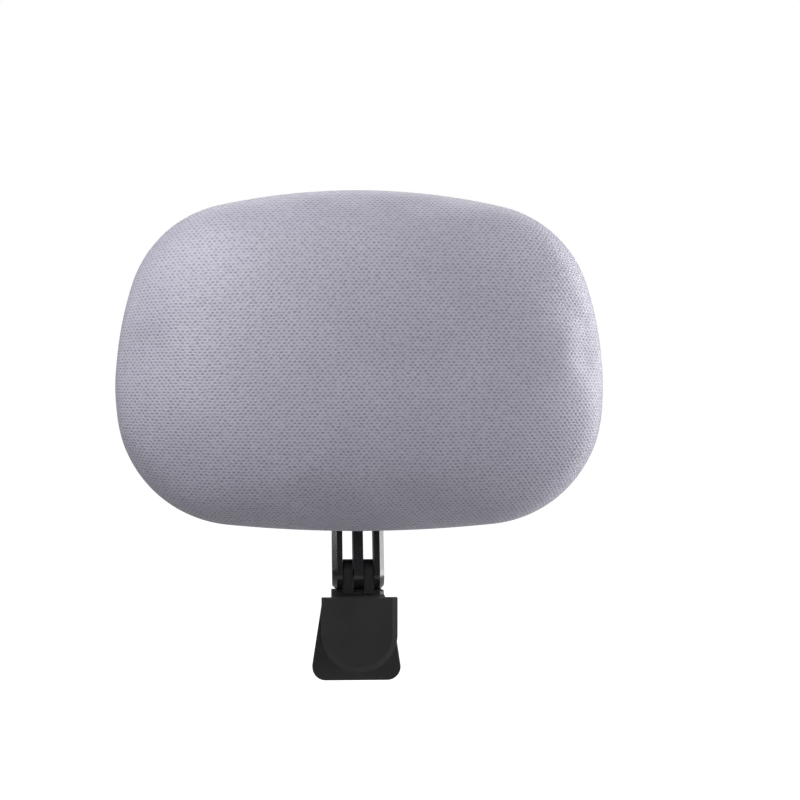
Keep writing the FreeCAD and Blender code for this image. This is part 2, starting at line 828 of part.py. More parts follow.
def make_link_arm():
    """Built upright about its lower pivot, then leaned back."""
    body = new_body("link_arm")
    profile = new_sketch(body, "YZ_Plane")
    add_stadium(profile, cell("arm_radius"), cell("arm_length"))
    pad(body, profile, cell("arm_width"), symmetric=True)
    side = cell("arm_width") / 2

    def outer_edge(edge):
        return in_plane("X", side)(edge) or in_plane("X", -side)(edge)

    chamfer(body, outer_edge, cell("arm_bevel"))

    past_end = cell("arm_radius") + OVERLAP
    levels = [
        (-past_end, cell("slot_reach")),
        (cell("arm_length") - cell("slot_reach"), cell("arm_length") + past_end),
    ]
    slots = new_sketch(body, "XZ_Plane")
    half = cell("slot_width") / 2
    for low, high in levels:
        for middle in (-slot_middle, slot_middle):
            add_rectangle(slots, middle - half, middle + half, low, high)
    pocket(body, slots, cell("arm_radius") * 2 + 2 * OVERLAP, symmetric=True)

    head_floor = side - cell("bolt_head_height") - cell("washer_thickness")
    for level in (Size(0), cell("arm_length")):
        shank = new_sketch(body, "YZ_Plane")
        add_circle(shank, 0, level, cell("bolt_radius") + cell("bolt_fit"))
        pocket(body, shank, cell("arm_width"), symmetric=True)
        head = new_sketch(body, "YZ_Plane", head_floor)
        add_circle(head, 0, level, cell("counterbore"))
        pocket(body, head, side - head_floor, reverse=True)
        nut = new_sketch(body, "YZ_Plane", -side)
        corner = cell("nut_flats") / 2 / cos(Size(30))
        flat = cell("nut_flats") / 2
        add_polygon(
            nut,
            [
                (corner, level),
                (corner / 2, level + flat),
                (-corner / 2, level + flat),
                (-corner, level),
                (-corner / 2, level - flat),
                (corner / 2, level - flat),
            ],
        )
        pocket(body, nut, cell("nut_height"), reverse=True)

    body.Placement.Rotation = FreeCAD.Rotation(FreeCAD.Vector(1, 0, 0), -cell("arm_lean").value)
    bind(body, "Placement.Rotation.Angle", -cell("arm_lean"))
    place(body, *lower_pivot)
    return body


def make_pivot_hardware(name, pivot):
    """Bolt, washer and nut, held in the arm's outer prongs."""
    side = cell("arm_width") / 2
    seat = side - cell("bolt_head_height")
    bolt = socket_screw(
        f"{name}_pivot_bolt",
        "X",
        pivot,
        seat,
        cell("bolt_head"),
        cell("bolt_head_height"),
        cell("bolt_radius"),
        seat + side - cell("bolt_end"),
    )
    thickness = cell("washer_thickness")
    start = seat - thickness
    ring = cylinder(f"{name}_ring", "X", pivot, start, thickness, cell("washer_radius"))
    hole = cylinder(
        f"{name}_hole",
        "X",
        pivot,
        start - OVERLAP,
        thickness + 2 * OVERLAP,
        cell("bolt_radius") + cell("bolt_fit"),
    )
    washer = cut(f"{name}_pivot_washer", ring, hole)
    height = cell("nut_height")
    block = hexagon(f"{name}_hex", "X", pivot, -side, height, cell("nut_flats"))
    rotate_hexagon(block, pivot)
    thread = cylinder(
        f"{name}_thread",
        "X",
        pivot,
        -side - OVERLAP,
        height + 2 * OVERLAP,
        cell("bolt_radius"),
    )
    nut = cut(f"{name}_pivot_nut", block, thread)
    return [bolt, washer, nut]


def rotate_hexagon(block, pivot):
    """Turn a nut's corners to the arm's own front and back."""
    lean = FreeCAD.Rotation(FreeCAD.Vector(1, 0, 0), 90 - cell("arm_lean").value)
    block.Placement.Rotation = lean.multiply(TURN["X"])
    place(block, -cell("arm_width") / 2, pivot[1], pivot[2])


def make_crowned_body(label, inset):
    """A pad with the cushion's outline and rolled edges, moved inwards all round."""
    body = new_body(label)
    place(body, 0, 0, cell("cushion_height"))
    inset = as_size(inset)
    sketch = new_sketch(body, "XZ_Plane", -cell("cushion_front") - inset)
    add_cushion_outline(sketch, inset)
    length = cell("cushion_back") - cell("cushion_front") - inset * 2
    pad(body, sketch, length, reverse=True)
    front = cell("cushion_front") + inset
    back = cell("cushion_back") - inset
    fillet(body, in_plane("Y", front), cell("front_roll") - inset)
    fillet(body, in_plane("Y", back), cell("back_roll") - inset)
    return body


def make_outline_slab(label, inset, start, length, height=None):
    """A plate with the cushion's outline, from Y = start away from the sitter."""
    body = new_body(label)
    place(body, 0, 0, cell("cushion_height") if height is None else height)
    sketch = new_sketch(body, "XZ_Plane", -start)
    add_cushion_outline(sketch, inset)
    pad(body, sketch, length, reverse=True)
    return body


def make_mesh_cover():
    outer = make_crowned_body("cover_outside", 0)
    inner = make_crowned_body("cover_inside", cell("cover_thickness"))
    opening = make_outline_slab(
        "cover_opening",
        cell("hem_inset"),
        board_back - OVERLAP,
        cell("cover_thickness") + 2 * OVERLAP,
    )
    return cut("mesh_cover", outer, inner, opening)


def bracket_screw_places():
    """Each bracket screw's line, as X, Y and Z in the row's frame."""
    x, z = cell("bracket_screw_x"), cell("bracket_screw_z")
    middle = cell("bracket_height")
    return [
        (side * x, Size(0), middle + level * z)
        for side in (Size(-1), Size(1))
        for level in (Size(-1), Size(1))
    ]


def shell_screw_places():
    x, z = cell("shell_screw_x"), cell("shell_screw_z")
    middle = cell("cushion_height")
    return [
        (side * x, Size(0), middle + level * z)
        for side in (Size(-1), Size(1))
        for level in (Size(-1), Size(1))
    ]


def drill(body, places, start, depth, radius):
    """Round holes from Y = start towards the sitter, in a body on the cushion's middle."""
    sketch = new_sketch(body, "XZ_Plane", -start)
    for x, _, z in places:
        add_circle(sketch, x, z - cell("cushion_height"), radius)
    return pocket(body, sketch, depth, reverse=True)


def make_foam_pad():
    body = make_crowned_body("foam_pad", cell("cover_thickness"))
    recess = new_sketch(body, "XZ_Plane", -board_back)
    add_cushion_outline(recess, cell("board_inset"))
    pocket(body, recess, cell("board_thickness"), reverse=True)
    depth = cell("tee_flange_height")
    drill(body, bracket_screw_places(), board_front, depth, cell("tee_flange"))
    return body


def make_inner_board():
    thickness = cell("board_thickness")
    body = make_outline_slab("inner_board", cell("board_inset"), board_front, thickness)
    drill(body, bracket_screw_places(), board_back, thickness, cell("tee_barrel"))
    drill(body, shell_screw_places(), board_back, thickness, cell("shell_screw"))
    return body


def make_back_shell():
    rim = cell("cushion_back")
    depth, wall = cell("shell_depth"), cell("shell_wall")
    body = make_outline_slab("back_shell", cell("shell_inset"), rim, depth)
    fillet(body, in_plane("Y", rim + depth), cell("shell_roll"))
    inner = cell("shell_inset") + wall
    inside = make_outline_slab("shell_inside", inner, rim, depth - wall, height=0)
    fillet(inside, in_plane("Y", rim + depth - wall), cell("shell_roll") - wall)
    before = body.Shape.Volume
    hollow = body.newObject("PartDesign::Boolean", "back_shell_hollow")
    hollow.Type = "Cut"
    hollow.setObjects([inside])
    settle(hollow)
    if body.Shape.Volume > before - inside.Shape.Volume / 2:
        raise RuntimeError("the back shell isn't hollow")

    bosses = new_sketch(body, "XZ_Plane", -board_back)
    for x, _, z in shell_screw_places():
        add_circle(bosses, x, z - cell("cushion_height"), cell("shell_boss"))
    pad(body, bosses, cell("shell_boss_top") - board_back, reverse=True)

    block = new_sketch(body, "XZ_Plane", -board_back)
    middle = cell("bracket_height") - cell("cushion_height")
    x, z = cell("shell_pad_half_width"), cell("shell_pad_half_height")
    add_rectangle(block, -x, x, middle - z, middle + z)
    pad(body, block, cell("shell_pad_back") - board_back, reverse=True)

    def upright(edge):
        box = edge.BoundBox
        long = box.YLength > 1 and box.XLength < 0.01 and box.ZLength < 0.01
        return long and abs(abs(box.XMin) - x.value) < 0.01

    fillet(body, upright, cell("bracket_corner"))
    fillet(body, in_plane("Y", cell("shell_pad_back")), cell("soft_edge"))

    through = cell("shell_pad_back") - board_back
    drill(body, bracket_screw_places(), cell("shell_pad_back"), through, cell("bracket_screw_hole"))
    seat = cell("shell_seat")
    drill(body, shell_screw_places(), Size(0), -seat, cell("shell_recess"))
    drill(body, shell_screw_places(), seat, seat - board_back, cell("shell_screw_hole"))
    return body


def make_bracket():
    body = new_body("bracket")
    plate = new_sketch(body, "XZ_Plane", -cell("shell_pad_back"))
    x, z = cell("bracket_half_width"), cell("bracket_half_height")
    middle = cell("bracket_height")
    add_rectangle(plate, -x, x, middle - z, middle + z)
    pad(body, plate, cell("bracket_thickness"), reverse=True)

    def upright(edge):
        return edge.BoundBox.YLength > 1

    fillet(body, upright, cell("bracket_corner"))
    chamfer(body, in_plane("Y", bracket_back), cell("soft_edge"))

    _, reach, height = upper_pivot
    for start in knuckle_starts():
        prong = new_sketch(body, "YZ_Plane", start)
        add_tongue(prong, "right", cell("prong_radius"), bracket_back - OVERLAP, reach, height)
        pad(body, prong, cell("prong_width"))

    pivot = new_sketch(body, "YZ_Plane")
    add_circle(pivot, reach, height, cell("pivot_bore"))
    pocket(body, pivot, cell("bridge_width"), symmetric=True)

    holes = new_sketch(body, "XZ_Plane", -bracket_back)
    for hole_x, _, hole_z in bracket_screw_places():
        add_circle(holes, hole_x, hole_z, cell("bracket_screw_hole"))
    pocket(body, holes, cell("bracket_thickness"), reverse=True)
    return body


def make_bracket_fasteners():
    made = []
    for i, at in enumerate(bracket_screw_places(), start=1):
        screw = socket_screw(
            f"bracket_screw_{i}",
            "Y",
            at,
            bracket_back,
            cell("bracket_screw_head"),
            cell("bracket_screw_head_height"),
            cell("bracket_screw"),
            cell("bracket_screw_length"),
        )
        flange = cell("tee_flange_height")
        front = board_front - flange
        blank = fuse(
            f"tee_blank_{i}",
            cylinder(f"tee_flange_{i}", "Y", at, front, flange, cell("tee_flange")),
            cylinder(f"tee_barrel_{i}", "Y", at, board_front, cell("tee_length"), cell("tee_barrel")),
        )
        thread = cylinder(
            f"tee_thread_{i}",
            "Y",
            at,
            front - OVERLAP,
            flange + cell("tee_length") + 2 * OVERLAP,
            cell("bracket_screw"),
        )
        made += [screw, cut(f"tee_nut_{i}", blank, thread)]
    return made


def make_shell_screws():
    return [
        socket_screw(
            f"shell_screw_{i}",
            "Y",
            at,
            cell("shell_seat"),
            cell("shell_screw_head"),
            cell("shell_screw_head_height"),
            cell("shell_screw"),
            cell("shell_screw_length"),
        )
        for i, at in enumerate(shell_screw_places(), start=1)
    ]


subparts = [
    make_clamp_frame(),
    make_front_jaw_pad(),
    make_thread_insert(),
    make_pressure_plate(),
    make_pressure_pad(),
    make_clamp_screw(),
    make_retaining_clip(),
    make_knob(),
    make_link_arm(),
    *make_pivot_hardware("lower", lower_pivot),
    *make_pivot_hardware("upper", upper_pivot),
    make_bracket(),
    make_back_shell(),
    make_inner_board(),
    make_foam_pad(),
    make_mesh_cover(),
    *make_bracket_fasteners(),
    *make_shell_screws(),
]
doc.recompute()

for item in doc.Objects:
    if "Invalid" in item.State or "Error" in item.State:
        raise RuntimeError(f"{item.Name} failed: {item.State}")
for item in subparts:
    if item.Shape.isNull() or not item.Shape.isValid():
        raise RuntimeError(f"{item.Label} has no valid shape")

os.makedirs("parts", exist_ok=True)
for item in subparts:
    item.Shape.exportStep(f"parts/{item.Label}.step")
    box = item.Shape.BoundBox
    solids = len(item.Shape.Solids)
    print(f"{item.Label:22s} solids {solids} volume {item.Shape.Volume:10.1f}", end=" ")
    print(f"Y {box.YMin:7.2f} {box.YMax:7.2f}  Z {box.ZMin:7.2f} {box.ZMax:7.2f}")
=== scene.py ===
import json
import math
import random
from bisect import bisect_right

import bmesh
import bpy
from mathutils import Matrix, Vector
from mathutils.bvhtree import BVHTree


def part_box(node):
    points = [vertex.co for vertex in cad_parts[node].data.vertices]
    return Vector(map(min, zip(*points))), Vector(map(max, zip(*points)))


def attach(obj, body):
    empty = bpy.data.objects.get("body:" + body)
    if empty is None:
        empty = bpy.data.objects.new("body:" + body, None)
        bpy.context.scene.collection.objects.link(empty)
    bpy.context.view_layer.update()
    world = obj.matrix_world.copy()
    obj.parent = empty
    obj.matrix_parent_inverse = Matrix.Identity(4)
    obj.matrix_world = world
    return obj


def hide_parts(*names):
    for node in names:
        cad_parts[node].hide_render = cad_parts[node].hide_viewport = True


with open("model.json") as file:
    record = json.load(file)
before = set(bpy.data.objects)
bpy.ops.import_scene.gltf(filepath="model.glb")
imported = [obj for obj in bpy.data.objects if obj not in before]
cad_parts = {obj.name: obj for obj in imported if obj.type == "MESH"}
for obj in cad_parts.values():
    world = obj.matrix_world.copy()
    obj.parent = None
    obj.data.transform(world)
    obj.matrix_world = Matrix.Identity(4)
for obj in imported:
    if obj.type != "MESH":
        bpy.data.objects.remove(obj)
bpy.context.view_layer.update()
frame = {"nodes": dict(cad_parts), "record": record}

# Chair headrest attachment. Metres, +X across the chair, +Y away from the sitter,
# +Z up. The cushion faces -Y.

scene = bpy.context.scene
nodes = frame["nodes"]
random.seed(11)


# Shader helpers.


class Shader:
    """A material's node tree, with short calls for the nodes used here."""

    def __init__(self, name, **values):
        self.material = bpy.data.materials.new(name)
        self.material.use_nodes = True
        self.tree = self.material.node_tree
        self.surface = self.tree.nodes["Principled BSDF"]
        for key, value in values.items():
            self.set(key.replace("_", " ").title().replace("Ior", "IOR"), value)

    def set(self, socket, value):
        """Sets or links a socket of the surface shader."""
        self.connect(self.surface.inputs[socket], value)

    def connect(self, socket, value):
        if isinstance(value, bpy.types.NodeSocket):
            self.tree.links.new(value, socket)
        elif hasattr(socket.default_value, "__len__") and len(value) == 3:
            width = len(socket.default_value)
            socket.default_value = (*value, 1.0)[:width]
        else:
            socket.default_value = value

    def node(self, kind, *inputs, **settings):
        made = self.tree.nodes.new(f"ShaderNode{kind}")
        for key, value in settings.items():
            setattr(made, key, value)
        for socket, value in zip(made.inputs, inputs):
            if value is not None:
                self.connect(socket, value)
        return made

    def place(self):
        """Object coordinates in metres."""
        return self.node("TexCoord").outputs["Object"]

    def math(self, operation, *inputs):
        return self.node("Math", *inputs, operation=operation).outputs[0]

    def vector(self, operation, *inputs):
        return self.node("VectorMath", *inputs, operation=operation).outputs[0]

    def noise(self, where, scale, detail=2.0, roughness=0.5):
        made = self.node("TexNoise", where)
        made.inputs["Scale"].default_value = scale
        made.inputs["Detail"].default_value = detail
        made.inputs["Roughness"].default_value = roughness
        return made.outputs[0]

    def range(self, value, low, high, to_low=0.0, to_high=1.0):
        """A smooth step of a value, clamped at both ends."""
        made = self.node("MapRange", value, low, high, to_low, to_high)
        made.interpolation_type = "SMOOTHSTEP"
        return made.outputs[0]

    def mix(self, factor, low, high):
        """A colour between two colours."""
        made = self.node("Mix", data_type="RGBA")
        self.connect(made.inputs[0], factor)
        self.connect(made.inputs[6], low)
        self.connect(made.inputs[7], high)
        return made.outputs[2]

    def bump(self, height, strength, distance, under=None):
        made = self.node("Bump")
        made.inputs["Strength"].default_value = strength
        made.inputs["Distance"].default_value = distance
        self.connect(made.inputs["Height"], height)
        if under is not None:
            self.connect(made.inputs["Normal"], under)
        return made.outputs[0]

    def edges(self, radius):
        """1 on convex and concave edges, 0 away from them."""
        rounded = self.node("Bevel", radius, samples=4).outputs[0]
        true = self.node("NewGeometry").outputs["Normal"]
        match = self.node("VectorMath", rounded, true, operation="DOT_PRODUCT")
        return self.range(match.outputs["Value"], 0.985, 0.80)


def moulded_plastic(name, colour, roughness, grain, depth, wear=0.3, coat=0.0):
    """Moulded plastic: spark-eroded grain, cloudy gloss and paler rubbed edges."""
    made = Shader(name, specular_ior_level=0.42)
    where = made.place()
    cloud = made.noise(where, 38.0, 3.0)
    speck = made.noise(where, 2600.0, 1.0)
    edge = made.edges(0.0006)
    broken = made.range(made.noise(where, 420.0, 2.0), 0.35, 0.65)
    rubbed = made.math("MULTIPLY", made.math("MULTIPLY", edge, broken), wear)
    dark = [value * 0.80 for value in colour]
    light = [value * 1.25 for value in colour]
    base = made.mix(cloud, dark, light)
    base = made.mix(made.range(speck, 0.62, 0.75, 0.0, 0.25), base, [v * 2.2 for v in colour])
    base = made.mix(rubbed, base, [value * 3.2 + 0.02 for value in colour])
    made.set("Base Color", base)
    gloss = made.range(cloud, 0.3, 0.7, roughness * 0.9, roughness * 1.1)
    made.set("Roughness", made.math("ADD", gloss, made.math("MULTIPLY", rubbed, 0.15)))
    if coat:
        made.surface.inputs["Coat Weight"].default_value = coat
        made.surface.inputs["Coat Roughness"].default_value = 0.12
    ripple = made.bump(made.noise(where, 170.0, 1.0), 0.12, 0.0002)
    made.set("Normal", made.bump(made.noise(where, grain, 2.0), depth, 0.00006, ripple))
    return made.material


def turned_metal(name, colour, roughness, axis, metallic=1.0):
    """Turned or cold-headed metal: fine rings across `axis`, stains and bright edges."""
    made = Shader(name, metallic=metallic)
    where = made.place()
    stretched = [5200.0 if i == axis else 260.0 for i in range(3)]
    rings = made.noise(made.vector("MULTIPLY", where, stretched), 1.0, 2.0)
    stain = made.noise(where, 240.0, 3.0)
    edge = made.edges(0.0003)
    base = made.mix(stain, [value * 0.78 for value in colour], colour)
    bright = [min(1.0, value * 1.35 + 0.03) for value in colour]
    made.set("Base Color", made.mix(made.math("MULTIPLY", edge, 0.6), base, bright))
    cloudy = made.range(stain, 0.3, 0.7, roughness * 0.8, roughness * 1.25)
    made.set("Roughness", cloudy)
    made.set("Normal", made.bump(rings, 0.18, 0.00004))
    return made.material


def soft_rubber(name, colour):
    """Matt rubber with a fine skin and paler patches of dust."""
    made = Shader(name, specular_ior_level=0.3)
    where = made.place()
    dust = made.range(made.noise(where, 150.0, 4.0), 0.48, 0.72, 0.0, 0.5)
    made.set("Base Color", made.mix(dust, colour, [value * 1.9 + 0.01 for value in colour]))
    made.set("Roughness", made.range(dust, 0.0, 0.5, 0.68, 0.88))
    made.set("Normal", made.bump(made.noise(where, 1900.0, 3.0), 0.35, 0.00008))
    return made.material


def pressed_board(name, colour):
    """Moulded board with a coarse felted face."""
    made = Shader(name)
    where = made.place()
    flake = made.noise(where, 620.0, 4.0, 0.65)
    made.set("Base Color", made.mix(flake, [v * 0.7 for v in colour], [v * 1.4 for v in colour]))
    made.set("Roughness", made.range(flake, 0.3, 0.7, 0.7, 0.85))
    made.set("Normal", made.bump(flake, 0.4, 0.0002))
    return made.material


def cut_foam(name, colour):
    """Open-cell foam, its pores painted darker for the shade inside them."""
    made = Shader(name, specular_ior_level=0.2)
    where = made.place()
    cells = made.node("TexVoronoi", where)
    cells.inputs["Scale"].default_value = 1400.0
    cell = made.range(cells.outputs["Distance"], 0.1, 0.6)
    # Painted shade: the middle of each cell, the pore, is darker.
    made.set("Base Color", made.mix(cell, [v * 0.55 for v in colour], colour))
    made.set("Roughness", made.range(cell, 0.0, 1.0, 0.95, 0.85))
    made.set("Normal", made.bump(cell, 0.6, 0.0003))
    return made.material


# Knitted air mesh. The stitches lie on the stored coordinate `knit`, which runs along
# the surface in metres, so they keep their real size over the rolled sides.

STITCH_WIDTH = 0.00275
STITCH_ROWS = 0.0033
HOLE_WIDTH = 0.00100
HOLE_HEIGHT = 0.00066


def hole_distance(made, across, along, shift):
    """Distance to the nearest hole of one lattice, in units of the hole's size."""
    offset = [0.0, 0.0]
    for i, (value, size) in enumerate(((across, STITCH_WIDTH), (along, STITCH_ROWS))):
        cell = made.math("ADD", made.math("DIVIDE", value, size), shift)
        local = made.math("SUBTRACT", made.math("FRACT", cell), 0.5)
        offset[i] = made.math("MULTIPLY", local, size)
    wide = made.math("POWER", made.math("DIVIDE", offset[0], HOLE_WIDTH), 2.0)
    high = made.math("POWER", made.math("DIVIDE", offset[1], HOLE_HEIGHT), 2.0)
    return made.math("SQRT", made.math("ADD", wide, high))


def knitted_mesh(name, yarn, hole_painted_shade):
    """Knit with staggered oval holes painted darker for the shade inside them, uneven stitches and
    a soft bloom at grazing angles.
    """
    made = Shader(name, specular_ior_level=0.45)
    stored = made.node("Attribute", attribute_name="knit").outputs["Vector"]
    wander = made.node("TexNoise", stored)
    wander.inputs["Scale"].default_value = 210.0
    wander.inputs["Detail"].default_value = 3.0
    wander.inputs["Roughness"].default_value = 0.6
    centred = made.vector("SUBTRACT", wander.outputs["Color"], (0.5, 0.5, 0.5))
    drift = made.node("VectorMath", centred, operation="SCALE")
    drift.inputs["Scale"].default_value = 0.0016
    moved = made.vector("ADD", stored, drift.outputs[0])
    split = made.node("SeparateXYZ", moved)
    across, along = split.outputs[0], split.outputs[1]
    nearest = made.math(
        "MINIMUM",
        hole_distance(made, across, along, 0.0),
        hole_distance(made, across, along, 0.5),
    )
    strength = made.range(made.noise(stored, 330.0, 1.0), 0.30, 0.62, 0.50, 1.0)
    hole = made.math("MULTIPLY", made.range(nearest, 1.45, 0.20), strength)
    fibre = made.noise(made.vector("MULTIPLY", stored, (1.0, 2.6, 1.0)), 3400.0, 2.0)
    cloud = made.noise(stored, 26.0, 3.0)
    base = made.mix(made.range(cloud, 0.3, 0.7), [v * 0.95 for v in yarn], [v * 1.04 for v in yarn])
    base = made.mix(made.range(fibre, 0.35, 0.70, 0.0, 0.30), base, [v * 1.30 for v in yarn])
    # Painted shade: the holes take the darker colour for the shade that falls inside them.
    made.set("Base Color", made.mix(hole, base, hole_painted_shade))
    made.set("Roughness", made.range(fibre, 0.3, 0.7, 0.42, 0.54))
    made.surface.inputs["Sheen Weight"].default_value = 0.24
    made.surface.inputs["Sheen Roughness"].default_value = 0.42
    made.surface.inputs["Sheen Tint"].default_value = (0.93, 0.93, 1.0, 1.0)
    yarns = made.bump(fibre, 0.25, 0.00012)
    dip = made.math("SUBTRACT", 1.0, hole)
    made.set("Normal", made.bump(dip, 0.55, 0.00035, yarns))
    return made.material


YARN = (0.340, 0.333, 0.394)
# Painted shade inside the knit's holes, not a second yarn colour.
HOLE_PAINTED_SHADE = (0.188, 0.180, 0.228)

finishes = {
    "foam": cut_foam("foam", (0.86, 0.84, 0.74)),
    "board": pressed_board("board", (0.16, 0.16, 0.17)),
    "shell_plastic": moulded_plastic("shell_plastic", (0.030, 0.030, 0.033), 0.52, 1500.0, 0.55),
    "arm_plastic": moulded_plastic(
        "arm_plastic", (0.016, 0.016, 0.018), 0.24, 900.0, 0.10, wear=0.2, coat=0.5
    ),
    "clamp_plastic": moulded_plastic("clamp_plastic", (0.017, 0.017, 0.018), 0.42, 1700.0, 0.35),
    "knob_plastic": moulded_plastic("knob_plastic", (0.024, 0.024, 0.026), 0.50, 1100.0, 0.60),
    "pad_rubber": soft_rubber("pad_rubber", (0.045, 0.045, 0.047)),
    "black_steel": turned_metal("black_steel", (0.050, 0.050, 0.054), 0.38, 0, metallic=0.7),
    "zinc_steel": turned_metal("zinc_steel", (0.62, 0.63, 0.64), 0.34, 1),
    "brass": turned_metal("brass", (0.72, 0.55, 0.25), 0.28, 1),
    "mesh_fabric": knitted_mesh("mesh_fabric", YARN, HOLE_PAINTED_SHADE),
}

for part in frame["record"]["subparts"]:
    for holder in nodes[part["node"]].material_slots:
        holder.link = "OBJECT"
        holder.material = finishes[part["material_slot"]]


# The cushion's outline, in millimetres from its middle: ten arcs that run into each
# other, counterclockwise from the right-hand side.

low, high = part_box("mesh_cover")
CUSHION_FRONT = low[1] * 1000
CUSHION_BACK = high[1] * 1000
HALF_WIDTH = high[0] * 1000
HALF_HEIGHT = (high[2] - low[2]) * 500
MIDDLE = (high[2] + low[2]) * 500
WIDE_LINE = -15.0
UPPER = {"side": 188.0, "corner": 65.0, "end": 364.0}
LOWER = {"side": 163.0, "corner": 68.0, "end": 742.0}
OUTLINE_STEPS = 1440


def corner_centre(radii, level):
    """Centre of the arc that joins a side arc to an end arc, both taken as above."""
    side = (HALF_WIDTH - radii["side"], level)
    end = (0.0, HALF_HEIGHT - radii["end"])
    to_end = radii["end"] - radii["corner"]
    to_side = radii["side"] - radii["corner"]
    along = (side[0] - end[0], side[1] - end[1])
    apart = math.hypot(*along)
    reach = (apart**2 + to_end**2 - to_side**2) / (2 * apart)
    height = math.sqrt(to_end**2 - reach**2)
    unit = (along[0] / apart, along[1] / apart)
    found = []
    for turn in (1, -1):
        x = end[0] + reach * unit[0] - turn * height * unit[1]
        z = end[1] + reach * unit[1] + turn * height * unit[0]
        found.append((x, z))
    return max(found)


def quarter(radii, level):
    """Three arcs from the side to the end, as (x, z, radius, first angle, last angle)."""
    x, z = corner_centre(radii, level)
    side_x = HALF_WIDTH - radii["side"]
    end_z = HALF_HEIGHT - radii["end"]
    first = math.atan2(z - level, x - side_x)
    last = math.atan2(z - end_z, x)
    return [
        (side_x, level, radii["side"], 0.0, first),
        (x, z, radii["corner"], first, last),
        (0.0, end_z, radii["end"], last, math.pi / 2),
    ]


def whole_outline():
    arcs = []
    for x, z, radius, first, last in quarter(UPPER, WIDE_LINE):
        arcs.append((x, z, radius, first, last))
        arcs.append((-x, z, radius, math.pi - last, math.pi - first))
    for x, z, radius, first, last in quarter(LOWER, -WIDE_LINE):
        arcs.append((x, -z, radius, 2 * math.pi - last, 2 * math.pi - first))
        arcs.append((-x, -z, radius, math.pi + first, math.pi + last))
    return sorted(arcs, key=lambda arc: arc[3])


OUTLINE = whole_outline()


def rim(angle, inset=0.0):
    """Point where the outline, moved inwards by inset, faces `angle`."""
    angle %= 2 * math.pi
    for x, z, radius, first, last in OUTLINE:
        if first <= angle <= last:
            break
    reach = radius - inset
    return x + reach * math.cos(angle), z + reach * math.sin(angle)


def facing_table():
    """Directions from the middle, and which way the outline faces there, over three turns."""
    rows = []
    for i in range(-OUTLINE_STEPS, 2 * OUTLINE_STEPS):
        facing = 2 * math.pi * i / OUTLINE_STEPS
        x, z = rim(facing)
        gap = math.atan2(z, x) - facing
        gap = (gap + math.pi) % (2 * math.pi) - math.pi
        rows.append((facing + gap, facing))
    return [row[0] for row in rows], [row[1] for row in rows]


DIRECTIONS, FACINGS = facing_table()


def facing_at(direction):
    """Which way the outline faces where it is seen from the middle at `direction`."""
    direction %= 2 * math.pi
    i = bisect_right(DIRECTIONS, direction)
    share = (direction - DIRECTIONS[i - 1]) / (DIRECTIONS[i] - DIRECTIONS[i - 1])
    return FACINGS[i - 1] + share * (FACINGS[i] - FACINGS[i - 1])


# The cushion: a crowned front, sides that roll into the back, a hem that tucks in
# between the back shell and the inner board, and the board's recess.

GRID = 108
WIDEST = -38.0
CROWN_ACROSS = 2.1
CROWN_UP = 2.7
CROWN_EDGE = 2.0
ROLL_INSET = 15.0
FULLNESS = 1.8  # the fabric stands this far out past the solid at its widest section
ROLL_RINGS = 16
PUCKER_COUNT = 90
LENGTH_STEPS = 20
SHRINK_DEPTH = 33.0  # the crown of a smaller copy is lower by its shrinking over this


def crown(share, direction):
    """Depth in front of the widest section, in millimetres."""
    flatness = CROWN_ACROSS * math.cos(direction) ** 2 + CROWN_UP * math.sin(direction) ** 2
    fullness = max(0.0, 1.0 - share**flatness) ** (1.0 / CROWN_EDGE)
    return (WIDEST - CUSHION_FRONT) * fullness


def length_along(direction, reach, share):
    """Length of the front's surface from the middle out to a share of the reach."""
    total = 0.0
    last_depth = crown(0.0, direction)
    for i in range(1, LENGTH_STEPS + 1):
        at = share * math.sin(math.pi / 2 * i / LENGTH_STEPS)
        before = share * math.sin(math.pi / 2 * (i - 1) / LENGTH_STEPS)
        depth = crown(at, direction)
        total += math.hypot((at - before) * reach, depth - last_depth)
        last_depth = depth
    return total


def laid_out(x, z, length):
    """Knit coordinates of a point whose way along the surface to the middle is longer
    than it looks from the front; the rows stay level towards the sides."""
    planar = math.hypot(x, z)
    if planar < 1e-6:
        return x, z
    extra = (length - planar) / planar**2
    return x + extra * x * abs(x), z + extra * z * abs(z)


def pucker_table():
    """Small gathers round the hem: where, how wide and how high each one is."""
    rows = []
    for i in range(PUCKER_COUNT):
        where = 2 * math.pi * (i + random.uniform(-0.35, 0.35)) / PUCKER_COUNT
        rows.append((where, random.uniform(0.012, 0.024), random.uniform(0.2, 1.0)))
    return rows


PUCKERS = pucker_table()


def pucker(facing):
    """Height of the gathers, in millimetres, where the outline faces `facing`."""
    total = 0.0
    for where, width, height in PUCKERS:
        gap = (facing - where + math.pi) % (2 * math.pi) - math.pi
        if abs(gap) < 4 * width:
            total += height * math.exp(-((gap / width) ** 2))
    return total


def back_profile():
    """(inset, Y, gathered share) from the widest section round to the hem's edge."""
    lip = CUSHION_BACK + 0.9
    rows = []
    for i in range(1, ROLL_RINGS + 1):
        turn = math.pi / 2 * i / ROLL_RINGS
        inset = ROLL_INSET * (1 - math.cos(turn)) - FULLNESS * math.cos(turn)
        gather = math.sin(turn) ** 4
        rows.append((inset, WIDEST + (lip - WIDEST) * math.sin(turn), gather))
    rows += [
        (16.8, lip - 0.05, 1.0),
        (18.2, lip - 0.25, 0.9),
        (19.3, lip - 0.60, 0.7),
        (20.2, lip - 1.00, 0.35),
        (20.8, lip - 1.25, 0.1),
        (22.0, CUSHION_BACK - 0.30, 0.0),
        (28.0, CUSHION_BACK - 0.30, 0.0),
        (34.0, CUSHION_BACK - 0.30, 0.0),
    ]
    return rows


def recess_profile():
    """(inset, Y) of the hem's edge and the walls of the board's recess."""
    board_low, board_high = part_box("inner_board")
    hem = board_high[1] * 1000 + 0.15
    floor = board_low[1] * 1000 - 0.2
    return [(34.0, hem), (21.6, hem), (21.6, floor), (40.0, floor)]


